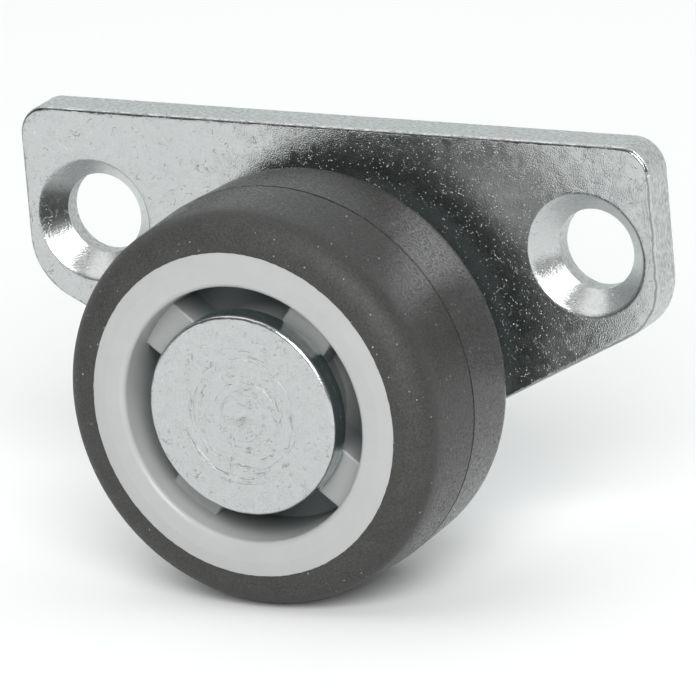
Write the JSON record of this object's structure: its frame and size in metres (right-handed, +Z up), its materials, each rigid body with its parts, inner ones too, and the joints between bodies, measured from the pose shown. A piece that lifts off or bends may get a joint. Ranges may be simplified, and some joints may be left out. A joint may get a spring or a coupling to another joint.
{
  "type": "furniture caster",
  "caption": "Rigid furniture caster: a soft-tyred plastic wheel turns on a flat-headed axle rivet, carried by a flat tapered steel plate with countersunk screw holes.",
  "frame": {"origin": "midway between the two screw holes, on the mounting plate's back face", "axes": "+X along the plate, +Y out of its back into the furniture, +Z up, with the wheel at -Y"},
  "size_m": [0.051, 0.0192, 0.0314],
  "materials": {
    "plate_zinc": "bright zinc plated, lightly mottled and scratched",
    "rivet_zinc": "zinc plated, with round forming marks",
    "core_nylon": "light grey nylon, satin",
    "tyre_rubber": "dark grey soft rubber, matt"
  },
  "bodies": {
    "bracket": {"mounting_plate": "plate_zinc", "axle_rivet": "rivet_zinc"},
    "wheel": {"wheel_core": "core_nylon", "tyre": "tyre_rubber"}
  },
  "joints": [
    {"name": "wheel_spin", "type": "hinge", "parent": "bracket", "child": "wheel", "pos_m": [0, -0.01225, -0.00825], "axis": [0, -1, 0], "continuous": true}
  ]
}
